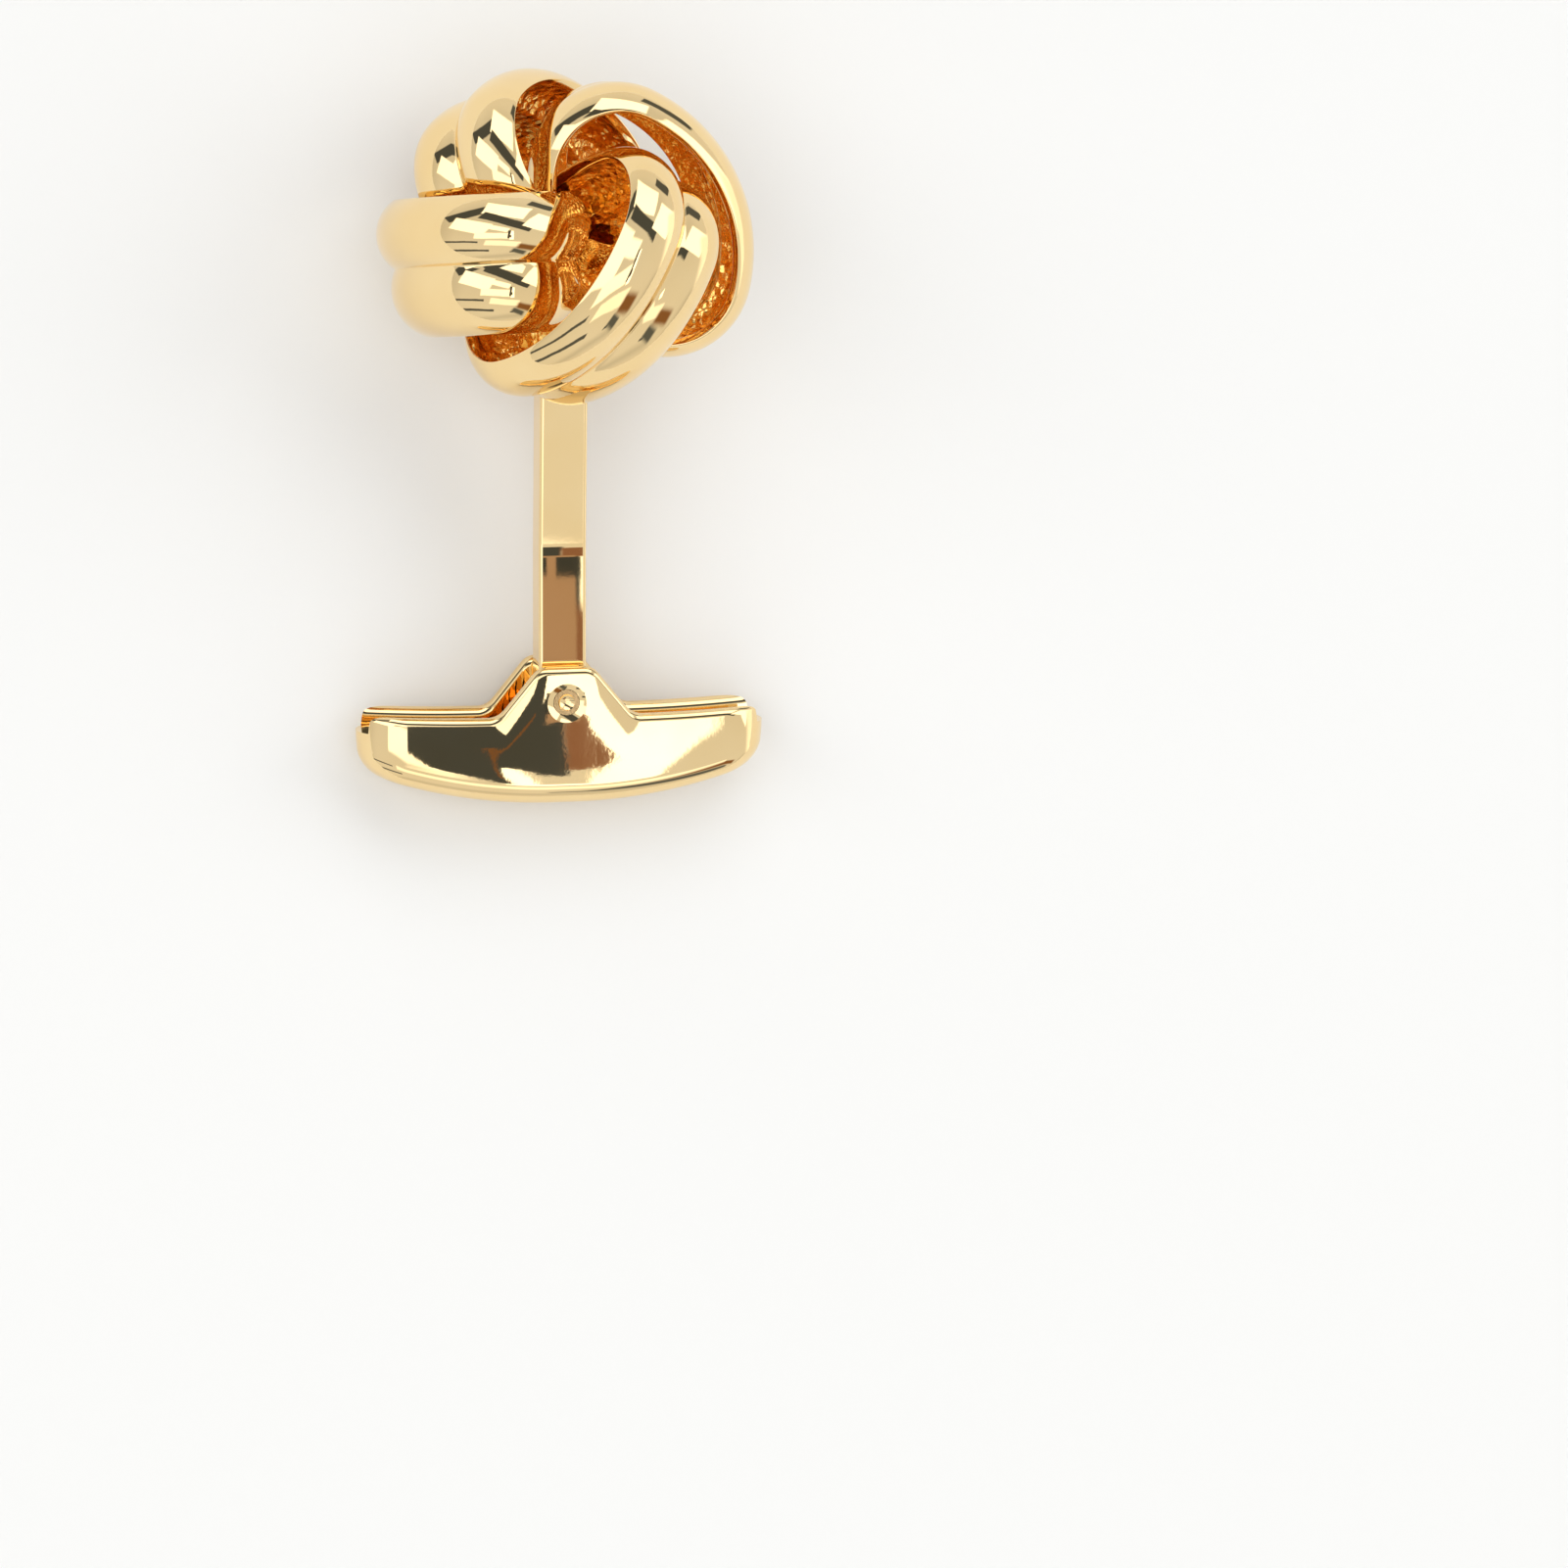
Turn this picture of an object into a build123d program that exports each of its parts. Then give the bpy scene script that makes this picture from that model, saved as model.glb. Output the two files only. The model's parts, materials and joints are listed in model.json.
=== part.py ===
# Knot cufflink: a hollow love knot of four linked double-rib bands, a flat post
# and a swivelling whale-back toggle. Millimetres. It is modelled standing, with
# the toggle's pivot at the origin, the post up +Z, the toggle along X and its
# front at -Y, and is then laid on the floor the way it comes to rest.

import os
from math import atan2, cos, degrees, radians, sin, tan

from build123d import *

# Knot
KNOT_HEIGHT = 19.86      # centre of the knot above the pivot
KNOT_FACE_TURN = -20.5   # the way the pinwheel faces, turned from the front, seen from above
KNOT_FACE_TILT = 41.4    # and how far it looks up, in degrees
BAND_WIDTH = 5.9         # across both ribs of a band
BAND_LONG = 4.72         # half of the band's oval, long way, before the rib heights
BAND_SHORT = 3.01        # half of the band's oval, short way
BAND_END_R = 2.15        # radius of the oval's two tight ends
RIB_RISE = 0.79          # how far a rib bulges above the line between its two edges
GROOVE_LIFT = 0.76       # the groove between the ribs stands this much outside the oval
RIM_LIFT = 0.60          # one rim stands this much outside the oval, the other as much inside
WALL = 0.50              # sheet thickness of a band
RIM_WALL = 0.40          # thickness of the visible edge of a band
LINK_OUT = 3.30          # distance of a band's centre from the pinwheel axis

# Where each band lies round the pinwheel: turn of its centre, its distance as a
# share of LINK_OUT, its height as a share of LINK_OUT, how far its own axis leans
# from the pinwheel's, the turn of that lean, and the turn of the oval's long way.
BANDS = [
    # name, centre_turn, out_share, rise_share, lean, lean_turn, oval_turn
    ("left", -153.1, 1.055, -0.023, 55.2, 95.0, -20.3),
    ("lower_right", -53.1, 0.968, 0.042, 40.1, -170.6, -17.5),
    ("upper_right", 25.7, 1.004, -0.077, 51.1, -67.3, -9.2),
    ("upper_left", 123.7, 0.987, -0.039, 63.5, 5.1, -19.7),
]

# Post
POST_WIDTH = 2.05        # along the toggle
POST_DEPTH = 1.70        # front to back
POST_EDGE_R = 0.16
POST_KINK_UP = 6.4       # height of the bend above the pivot
POST_LEAN = 3.0          # degrees the upper post leans to the front
POST_BEND_R = 12.0
POST_WELD = 0.28         # depth of the post's end in the knot's metal

# Pivot pin
PIN_R = 0.55
PIN_GAP_POST = 0.05      # radial, running
PIN_GAP_TOGGLE = 0.02    # radial, driven in
PIN_SINK = 0.10          # the pin's ends stop this far under the toggle's faces
PIN_PIT_R = 0.36
PIN_PIT_DEPTH = 0.16
DIMPLE_R = 0.86          # the punched dimple round each end of the pin
DIMPLE_DEPTH = 0.22

# Toggle
TOGGLE_LENGTH = 17.6
TOGGLE_DEPTH = 3.8
TOGGLE_TOP = -0.62       # top of the bar beside the hump, from the pivot
TOGGLE_TOP_RISE = 0.24   # the top is that much higher at the ends
TOGGLE_BOTTOM = -4.46    # underside at the middle
TOGGLE_BELLY = 1.60      # the underside rises that much to the ends
BELLY_FLAT = 1.0         # and is straight for that length in the middle
TOGGLE_EDGE_R = 0.34
BELLY_EDGE_R = 0.95
HUMP_TOP = 1.52
HUMP_TOP_WIDTH = 2.3
HUMP_FOOT_WIDTH = 5.8
HUMP_SHOULDER_R = 0.8
HUMP_FOOT_R = 0.9
SLOT_GAP = 0.20          # each side of the post, and under its end


def direction(turn, rise):
    """Unit vector turned from +X in the XY plane and raised, in degrees."""
    flat = cos(radians(rise))
    return Vector(flat * cos(radians(turn)), flat * sin(radians(turn)), sin(radians(rise)))


def band_section():
    """Cut through a band: X is the offset from the oval, Y runs across the band."""
    half = BAND_WIDTH / 2
    rise = RIB_RISE
    rim_up = Vector(RIM_LIFT, half)
    rim_down = Vector(-RIM_LIFT, -half)
    groove = Vector(GROOVE_LIFT, 0)
    top_up = Vector((RIM_LIFT + GROOVE_LIFT) / 2 + rise, half / 2)
    top_down = Vector((GROOVE_LIFT - RIM_LIFT) / 2 + rise, -half / 2)

    def inward(rim, top):
        """Inner corner of the edge: RIM_WALL along the rib's own radius."""
        arc = ThreePointArc(rim, top, groove)
        centre = arc.arc_center
        return rim + (centre - rim).normalized() * RIM_WALL

    in_up = inward(rim_up, top_up)
    in_down = inward(rim_down, top_down)
    floor_up = Vector(GROOVE_LIFT - WALL, WALL / 2)
    floor_down = Vector(GROOVE_LIFT - WALL, -WALL / 2)
    edges = [
        ThreePointArc(rim_up, top_up, groove),
        ThreePointArc(groove, top_down, rim_down),
        Line(rim_down, in_down),
        ThreePointArc(in_down, top_down - Vector(WALL, 0), floor_down),
        Line(floor_down, floor_up),
        ThreePointArc(floor_up, top_up - Vector(WALL, 0), in_up),
        Line(in_up, rim_up),
    ]
    return make_face(Curve() + edges)


def oval_band():
    """A band as a ring: its section turned round the four arcs of an oval."""
    end_r = BAND_END_R
    side_r = (BAND_LONG**2 + BAND_SHORT**2 - 2 * BAND_LONG * end_r) / (2 * (BAND_SHORT - end_r))
    end_x = BAND_LONG - end_r
    side_y = side_r - BAND_SHORT
    split = degrees(atan2(side_y, end_x))
    section = band_section()
    arcs = [
        (Vector(end_x, 0), end_r, -split, 2 * split),
        (Vector(0, -side_y), side_r, split, 180 - 2 * split),
        (Vector(-end_x, 0), end_r, 180 - split, 2 * split),
        (Vector(0, side_y), side_r, 180 + split, 180 - 2 * split),
    ]
    ring = None
    for centre, radius, start, sweep_by in arcs:
        out = direction(start, 0)
        plane = Plane(origin=centre, x_dir=out, z_dir=out.cross(Vector(0, 0, 1)))
        face = plane * (Pos(radius, 0) * section)
        piece = revolve(face, Axis(centre, (0, 0, 1)), sweep_by)
        ring = piece if ring is None else ring + piece
    return ring


def knot_plane():
    """Frame of the knot: Z looks out of the pinwheel, X lies level."""
    lean = radians(POST_LEAN)
    forward = -(KNOT_HEIGHT - POST_KINK_UP) * tan(lean)
    face = direction(-90 + KNOT_FACE_TURN, KNOT_FACE_TILT)
    level = Vector(0, 0, 1).cross(face).normalized()
    return Plane(origin=(0, forward, KNOT_HEIGHT), x_dir=level, z_dir=face)


def placed_band(ring, row):
    """One band at its place in the knot's own frame."""
    _, centre_turn, out_share, rise_share, lean, lean_turn, oval_turn = row
    centre = direction(centre_turn, 0) * (LINK_OUT * out_share)
    centre += Vector(0, 0, LINK_OUT * rise_share)
    axis = direction(lean_turn, 90 - lean)
    up = Vector(0, 0, 1) - axis * axis.Z
    up = up.normalized()
    side = up.cross(axis)
    long_way = up * cos(radians(oval_turn)) + side * sin(radians(oval_turn))
    return Plane(origin=centre, x_dir=long_way, z_dir=axis) * ring


def knot_bands():
    ring = oval_band()
    frame = knot_plane()
    return [frame * placed_band(ring, row) for row in BANDS]


def knot_underside(bands, x, y):
    """Height at which a line going up beside the post's axis first meets the knot."""
    lean = Vector(0, -sin(radians(POST_LEAN)), cos(radians(POST_LEAN)))
    foot = Vector(x, y, 0) + Vector(0, 0, POST_KINK_UP)
    line = Edge.make_line(foot, foot + lean * 2 * KNOT_HEIGHT)
    found = []
    for band in bands:
        met = band & line
        if met:
            found += [min(edge.start_point().Z, edge.end_point().Z) for edge in met.edges()]
    return min(found)


def post(bands):
    """Flat bar from the pivot up to the underside of the knot, with its round eye."""
    lean = radians(POST_LEAN)
    bend_in = POST_BEND_R * tan(lean / 2)
    start = Vector(0, 0, 0)
    bend_start = Vector(0, 0, POST_KINK_UP - bend_in)
    middle = bend_start + Vector(0, -POST_BEND_R * (1 - cos(lean / 2)), POST_BEND_R * sin(lean / 2))
    bend_end = bend_start + Vector(0, -POST_BEND_R * (1 - cos(lean)), POST_BEND_R * sin(lean))
    along = Vector(0, -sin(lean), cos(lean))
    front = knot_underside(bands, 0, -POST_DEPTH / 2)
    back = knot_underside(bands, 0, POST_DEPTH / 2)
    reach = (max(front, back) + POST_WELD + POST_DEPTH - bend_end.Z) / cos(lean)
    path = Curve() + [
        Line(start, bend_start),
        ThreePointArc(bend_start, middle, bend_end),
        Line(bend_end, bend_end + along * reach),
    ]
    section = RectangleRounded(POST_WIDTH, POST_DEPTH, POST_EDGE_R)
    bar = sweep(section, path=path)
    # the upper end is cut to the slope of the knot's underside
    slope = atan2(back - front, POST_DEPTH)
    seat = Vector(0, (front - POST_KINK_UP) * -tan(lean) - POST_DEPTH / 2, front + POST_WELD)
    cut = Plane(origin=seat, x_dir=(1, 0, 0), z_dir=(0, -sin(slope), cos(slope)))
    keep_off = cut * Pos(0, 0, KNOT_HEIGHT / 2) * Box(KNOT_HEIGHT, KNOT_HEIGHT, KNOT_HEIGHT)
    bar = bar - keep_off
    eye = Rot(90, 0, 0) * Cylinder(POST_WIDTH / 2, POST_DEPTH)
    eye = fillet(eye.edges().filter_by(GeomType.CIRCLE), POST_EDGE_R)
    hole = Rot(90, 0, 0) * Cylinder(PIN_R + PIN_GAP_POST, 2 * POST_DEPTH)
    return bar + eye - hole


def knot_and_post():
    bands = knot_bands()
    solid = post(bands)
    for band in bands:
        solid = solid + band
    return solid


def toggle():
    """Whale-back bar: curved belly, hump with two cheeks, and the post's channel."""
    half = TOGGLE_LENGTH / 2
    end_top = TOGGLE_TOP + TOGGLE_TOP_RISE
    end_bottom = TOGGLE_BOTTOM + TOGGLE_BELLY
    foot = HUMP_FOOT_WIDTH / 2
    top = HUMP_TOP_WIDTH / 2
    flat = BELLY_FLAT / 2
    outline = Curve() + [
        Line((-flat, TOGGLE_BOTTOM), (flat, TOGGLE_BOTTOM)),
        TangentArc((flat, TOGGLE_BOTTOM), (half, end_bottom), tangent=(1, 0)),
        Line((half, end_bottom), (half, end_top)),
        TangentArc((foot, TOGGLE_TOP), (half, end_top), tangent=(1, 0)),
        Line((foot, TOGGLE_TOP), (top, HUMP_TOP)),
        Line((top, HUMP_TOP), (-top, HUMP_TOP)),
        Line((-top, HUMP_TOP), (-foot, TOGGLE_TOP)),
        TangentArc((-foot, TOGGLE_TOP), (-half, end_top), tangent=(-1, 0)),
        Line((-half, end_top), (-half, end_bottom)),
        TangentArc((-flat, TOGGLE_BOTTOM), (-half, end_bottom), tangent=(-1, 0)),
    ]
    face = make_face(outline)
    shoulders = [v for v in face.vertices() if abs(v.Y - HUMP_TOP) < 1e-6]
    face = fillet(shoulders, HUMP_SHOULDER_R)
    feet = [v for v in face.vertices() if abs(v.Y - TOGGLE_TOP) < 1e-6 and abs(abs(v.X) - foot) < 1e-6]
    face = fillet(feet, HUMP_FOOT_R)
    body = extrude(Plane.XZ * face, TOGGLE_DEPTH / 2, both=True)
    plan = SlotOverall(TOGGLE_LENGTH, TOGGLE_DEPTH)
    body = body & extrude(plan, 2 * TOGGLE_LENGTH, both=True)
    body = fillet(rim_edges(body, -1), BELLY_EDGE_R)
    body = fillet(rim_edges(body, 1), TOGGLE_EDGE_R)
    channel = POST_DEPTH + 2 * SLOT_GAP
    floor = -(POST_WIDTH / 2 + SLOT_GAP)
    body = body - Pos(0, 0, floor + TOGGLE_LENGTH / 2) * Box(2 * TOGGLE_LENGTH, channel, TOGGLE_LENGTH)
    body = body - Rot(90, 0, 0) * Cylinder(PIN_R + PIN_GAP_TOGGLE, 2 * TOGGLE_DEPTH)
    ball_r = (DIMPLE_R**2 + DIMPLE_DEPTH**2) / (2 * DIMPLE_DEPTH)
    for side in (-1, 1):
        centre = side * (TOGGLE_DEPTH / 2 - DIMPLE_DEPTH + ball_r)
        body = body - Pos(0, centre, 0) * Sphere(ball_r)
    return body


def rim_edges(body, way):
    """Edges round the top (way 1) or the underside (way -1), without those that run across it."""
    found = []
    for face in body.faces():
        if face.normal_at().Z * way < 0.3:
            continue
        found += [edge for edge in face.edges() if not crosswise(edge)]
    return found


def crosswise(edge):
    """True for a straight edge that runs front to back."""
    return edge.geom_type == GeomType.LINE and abs(edge.tangent_at(0.5).Y) > 0.999


def pivot_pin():
    """Driven pin: it fills the toggle's cheeks, and the post's eye turns on it."""
    end = TOGGLE_DEPTH / 2 - DIMPLE_DEPTH + PIN_SINK
    pin = Rot(90, 0, 0) * Cylinder(PIN_R, 2 * end)
    ball_r = (PIN_PIT_R**2 + PIN_PIT_DEPTH**2) / (2 * PIN_PIT_DEPTH)
    for side in (-1, 1):
        pin = pin - Pos(0, side * (end - PIN_PIT_DEPTH + ball_r), 0) * Sphere(ball_r)
    return pin


def settle(points, balance, start):
    """The way down in which the part lies still: its balance point is then lowest."""
    down = start.normalized()

    def height(way):
        return max(p.dot(way) for p in points) - balance.dot(way)

    best = height(down)
    step = 6.0
    while step > 0.002:
        side = down.cross(Vector(1, 0, 0)).normalized()
        other = down.cross(side)
        lower = None
        for turn in range(0, 360, 5):
            away = side * cos(radians(turn)) + other * sin(radians(turn))
            tried = (down + away * tan(radians(step))).normalized()
            at = height(tried)
            if at < best - 1e-9:
                best, lower = at, tried
        if lower is None:
            step = step / 2
        else:
            down = lower
    return down


def at_rest(pieces):
    """Lays the standing part on the floor, on its back, with its middle at X = Y = 0."""
    volume = sum(piece.volume for piece in pieces)
    balance = Vector(0, 0, 0)
    points = []
    for piece in pieces:
        balance += piece.center(CenterOf.MASS) * (piece.volume / volume)
        points += piece.tessellate(0.01, 0.3)[0]
    back = Vector(0, 1, -0.2).normalized()
    reach = [(p - balance).dot(back) for p in points]
    # only what sticks out at the back can touch the floor
    low = [p for p, out in zip(points, reach) if out > max(reach) / 2]
    down = settle(low, balance, back)
    up = down * -1
    head_way = Vector(0, 0, 1) - up * up.Z
    head_way = head_way.normalized()
    laid = Plane(origin=(0, 0, 0), x_dir=head_way.cross(up), z_dir=up).location.inverse()
    boxes = [(laid * piece).bounding_box() for piece in pieces]
    low = [min(tuple(box.min)[i] for box in boxes) for i in range(3)]
    high = [max(tuple(box.max)[i] for box in boxes) for i in range(3)]
    shift = Pos(-(low[0] + high[0]) / 2, -(low[1] + high[1]) / 2, -low[2])
    return shift * laid


def main():
    names = ["knot_and_post", "toggle", "pivot_pin"]
    standing = [knot_and_post(), toggle(), pivot_pin()]
    laid = at_rest(standing)
    os.makedirs("parts", exist_ok=True)
    for name, piece in zip(names, standing):
        export_step(laid * piece, f"parts/{name}.step")


if __name__ == "__main__":
    main()
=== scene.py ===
import json
import math

import bmesh
import bpy
from mathutils import Matrix, Vector


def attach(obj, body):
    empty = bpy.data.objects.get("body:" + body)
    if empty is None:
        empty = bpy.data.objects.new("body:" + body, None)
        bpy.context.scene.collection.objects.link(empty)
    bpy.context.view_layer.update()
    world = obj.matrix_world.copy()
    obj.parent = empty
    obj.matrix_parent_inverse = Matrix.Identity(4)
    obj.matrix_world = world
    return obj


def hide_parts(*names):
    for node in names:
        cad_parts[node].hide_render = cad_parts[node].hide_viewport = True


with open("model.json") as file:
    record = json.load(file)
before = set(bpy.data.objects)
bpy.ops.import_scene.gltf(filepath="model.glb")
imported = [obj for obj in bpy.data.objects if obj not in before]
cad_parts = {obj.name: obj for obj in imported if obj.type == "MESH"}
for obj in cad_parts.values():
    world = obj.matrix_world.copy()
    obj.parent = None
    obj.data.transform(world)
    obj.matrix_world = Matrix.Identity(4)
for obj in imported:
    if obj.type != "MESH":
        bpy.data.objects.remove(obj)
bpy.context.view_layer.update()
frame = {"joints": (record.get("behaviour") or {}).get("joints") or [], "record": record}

MM = 0.001

# Sizes are in millimetres and angles in degrees, for the cufflink standing on its toggle
# with the middle of the pivot pin at 0, 0, 0.

# Knot
KNOT_HEIGHT = 19.86
KNOT_FACE_TURN = -20.5
KNOT_FACE_TILT = 41.4
BAND_WIDTH = 5.9
BAND_LONG = 4.72
BAND_SHORT = 3.01
BAND_END_R = 2.15
RIB_RISE = 0.79
GROOVE_LIFT = 0.76
RIM_LIFT = 0.60
WALL = 0.50
RIM_WALL = 0.40
LINK_OUT = 3.30
BAND_SOFT_EDGE = 0.05

BANDS = [
    # name, centre_turn, out_share, rise_share, lean, lean_turn, oval_turn
    ("left", -153.1, 1.055, -0.023, 55.2, 95.0, -20.3),
    ("lower_right", -53.1, 0.968, 0.042, 40.1, -170.6, -17.5),
    ("upper_right", 25.7, 1.004, -0.077, 51.1, -67.3, -9.2),
    ("upper_left", 123.7, 0.987, -0.039, 63.5, 5.1, -19.7),
]

# Post
POST_WIDTH = 2.05
POST_DEPTH = 1.70
POST_EDGE_R = 0.16
POST_KINK_UP = 6.4
POST_BEND = 0.30
POST_LEAN = 3.0
POST_TOP = 13.62
POST_TOP_SLOPE = 0.547
PIN_R = 0.55
PIN_HOLE_MORE = 0.02
EYE_HOLE_R = 0.60
EYE_CLEAR = 1.3
PIN_SINK = 0.10
PIN_PIT_R = 0.36
PIN_PIT_DEPTH = 0.16
DIMPLE_R = 0.86
DIMPLE_DEPTH = 0.22

# Toggle
TOGGLE_LENGTH = 17.6
TOGGLE_DEPTH = 3.8
TOGGLE_TOP = -0.62
TOGGLE_TOP_RISE = 0.24
TOGGLE_BOTTOM = -4.46
TOGGLE_BELLY = 1.60
BELLY_FLAT = 1.0
TOGGLE_EDGE_R = 0.34
BELLY_EDGE_R = 0.95
SIDE_CROWN = 0.035
SIDE_BOW = 0.08
HUMP_TOP = 1.52
HUMP_TOP_WIDTH = 2.3
HUMP_FOOT_WIDTH = 5.8
HUMP_SHOULDER_R = 0.8
HUMP_FOOT_R = 0.9
SLOT_GAP = 0.20
SLOT_DRAFT = 2.5
SLOT_EDGE_R = 0.40

# Meshes: steps round a shape, distances within which points are one, the width of the spine that
# closes the toggle's top and belly, and angles below which a line is straight or over which an edge
# is softened or sharp
END_STEPS = 64
SIDE_STEPS = 48
RIB_STEPS = 22
HOLLOW_STEPS = 16
CORNER_STEPS = 6
BEND_STEPS = 10
PATH_JOIN = 1e-4
SEAM_JOIN = 2e-3
SLIVER = 5e-4
SPINE = 0.02
STRAIGHT = 1.0
BAND_SOFT_FROM = 40
BAND_SHARP_FROM = 35
SHARP_FROM = 20

# Patterns in the finishes, as features a metre, and the size of one feature
PATCH_SCALE = 330.0  # 3.0 mm
WAVE_SCALE = 620.0  # 1.6 mm
MARK_SCALE = 5200.0  # 0.19 mm
RIDGE_SCALE = 1500.0  # 0.67 mm
GRAIN_SCALE = 2300.0  # 0.43 mm


def standing_frame():
    """Place of the standing part in the row: pivot, toggle's way, pin's way and post's way."""
    hinge = frame["joints"][0]
    mount = frame["record"]["mounts"][0]
    back = Vector(hinge["axis"]).normalized()
    up = -Vector(mount["axis"]).normalized()
    across = back.cross(up).normalized()
    place = Matrix((across, back, up)).transposed().to_4x4()
    place.translation = Vector(hinge["pos_m"])
    return place @ Matrix.Scale(MM, 4)


LAID = standing_frame()


def direction(turn, rise):
    flat = math.cos(math.radians(rise))
    return Vector((flat * math.cos(math.radians(turn)), flat * math.sin(math.radians(turn)),
                   math.sin(math.radians(rise))))


def knot_place():
    forward = -(KNOT_HEIGHT - POST_KINK_UP) * math.tan(math.radians(POST_LEAN))
    face = direction(-90 + KNOT_FACE_TURN, KNOT_FACE_TILT)
    level = Vector((0, 0, 1)).cross(face).normalized()
    place = Matrix((level, face.cross(level), face)).transposed().to_4x4()
    place.translation = Vector((0, forward, KNOT_HEIGHT))
    return place


def band_place(row):
    _, centre_turn, out_share, rise_share, lean, lean_turn, oval_turn = row
    centre = direction(centre_turn, 0) * (LINK_OUT * out_share)
    centre.z += LINK_OUT * rise_share
    axis = direction(lean_turn, 90 - lean)
    up = (Vector((0, 0, 1)) - axis * axis.z).normalized()
    side = up.cross(axis)
    long_way = up * math.cos(math.radians(oval_turn)) + side * math.sin(math.radians(oval_turn))
    place = Matrix((long_way, axis.cross(long_way), axis)).transposed().to_4x4()
    place.translation = centre
    return knot_place() @ place


def srgb(text):
    """Linear colour of an sRGB hex value."""
    parts = [int(text[i:i + 2], 16) / 255 for i in (1, 3, 5)]
    return tuple(p / 12.92 if p <= 0.04045 else ((p + 0.055) / 1.055) ** 2.4 for p in parts) + (1.0,)


def add(tree, kind, settings=(), values=(), links=()):
    """Adds a node: its settings, the values of its inputs, and links into its inputs."""
    node = tree.nodes.new(kind)
    for name, value in dict(settings).items():
        setattr(node, name, value)
    for name, value in dict(values).items():
        node.inputs[name].default_value = value
    for name, source in dict(links).items():
        tree.links.new(source, node.inputs[name])
    return node


def metal_material(name, rough):
    mat = bpy.data.materials.new(name)
    mat.use_nodes = True
    tree = mat.node_tree
    shader = tree.nodes["Principled BSDF"]
    shader.inputs["Metallic"].default_value = 1.0
    shader.inputs["Roughness"].default_value = rough
    place = add(tree, "ShaderNodeTexCoord").outputs["Object"]
    return mat, tree, shader, place


def polished_gold(name, rough=0.03, wave_depth=2.0e-5, fine_depth=6.0e-7):
    """Mirror-polished pale gold plate: clean reflections that wander a little from hand buffing."""
    mat, tree, shader, place = metal_material(name, rough)
    # plating is a touch richer in patches of a few millimetres
    patch = add(tree, "ShaderNodeTexNoise", values={"Scale": PATCH_SCALE, "Detail": 2.0},
                links={"Vector": place})
    tone = add(tree, "ShaderNodeMix", {"data_type": "RGBA"}, links={"Factor": patch.outputs["Fac"]})
    tone.inputs[6].default_value = srgb("#F9DFAC")
    tone.inputs[7].default_value = srgb("#F3D295")
    tree.links.new(tone.outputs[2], shader.inputs["Base Color"])
    # buffing leaves long waves; the fine marks are drawn coarser than real ones to show
    wave = add(tree, "ShaderNodeTexNoise", values={"Scale": WAVE_SCALE, "Detail": 1.0},
               links={"Vector": place})
    wavy = add(tree, "ShaderNodeBump", values={"Strength": 1.0, "Distance": wave_depth},
               links={"Height": wave.outputs["Fac"]})
    marks = add(tree, "ShaderNodeTexNoise", values={"Scale": MARK_SCALE, "Detail": 2.0},
                links={"Vector": place})
    fine = add(tree, "ShaderNodeBump", values={"Strength": 1.0, "Distance": fine_depth},
               links={"Height": marks.outputs["Fac"], "Normal": wavy.outputs["Normal"]})
    tree.links.new(fine.outputs["Normal"], shader.inputs["Normal"])
    return mat


def cast_gold_painted_bounce(name):
    """Unpolished casting under the same plate: grainy and ridged, with a painted deeper orange that stands
    in for the light bouncing inside the bands.
    """
    mat, tree, shader, place = metal_material(name, 0.15)
    grain = add(tree, "ShaderNodeTexVoronoi", {"feature": "F1"}, {"Scale": GRAIN_SCALE}, {"Vector": place})
    ridges = add(tree, "ShaderNodeTexNoise", values={"Scale": RIDGE_SCALE, "Detail": 3.0},
                 links={"Vector": place})
    tone = add(tree, "ShaderNodeMix", {"data_type": "RGBA"}, links={"Factor": ridges.outputs["Fac"]})
    # both tones are a deeper orange than the outside's: painted colour for the light that bounces inside
    # the hollow bands; the mix between them varies at random
    tone.inputs[6].default_value = srgb("#FFDD90")
    tone.inputs[7].default_value = srgb("#FFC05A")
    tree.links.new(tone.outputs[2], shader.inputs["Base Color"])
    rough = add(tree, "ShaderNodeBump", values={"Strength": 1.0, "Distance": 1.1e-4},
                links={"Height": ridges.outputs["Fac"]})
    pitted = add(tree, "ShaderNodeBump", values={"Strength": 1.0, "Distance": 1.0e-4},
                 links={"Height": grain.outputs["Distance"], "Normal": rough.outputs["Normal"]})
    tree.links.new(pitted.outputs["Normal"], shader.inputs["Normal"])
    return mat


# the bands are buffed by hand all over, so their long reflections wander
GOLD = polished_gold("mirror_gold_plate")
# the bands' hollow side isn't reached by the polish, so it looks grainy and breaks up the light; its deeper
# orange is painted, for the light bounced inside the bands
GOLD_CAST_PAINTED_BOUNCE = cast_gold_painted_bounce("as_cast_gold_painted_bounce")
# the post is lapped flat, so each of its faces shows one even tone with hardly a ripple
GOLD_POST = polished_gold("flat_lapped_gold_plate", 0.012, wave_depth=1.5e-7, fine_depth=3.0e-8)
# the toggle is lapped too, on faces that curve, so its reflections are clean and waver a little
GOLD_TOGGLE = polished_gold("flat_lapped_gold_plate_toggle", 0.02, wave_depth=9.0e-7, fine_depth=2.2e-7)
# the pin's ends are punched and left so, which blurs what they reflect
GOLD_PIN = polished_gold("satin_gold_plate_pin", 0.08, wave_depth=2.0e-6, fine_depth=3.0e-7)


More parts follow.
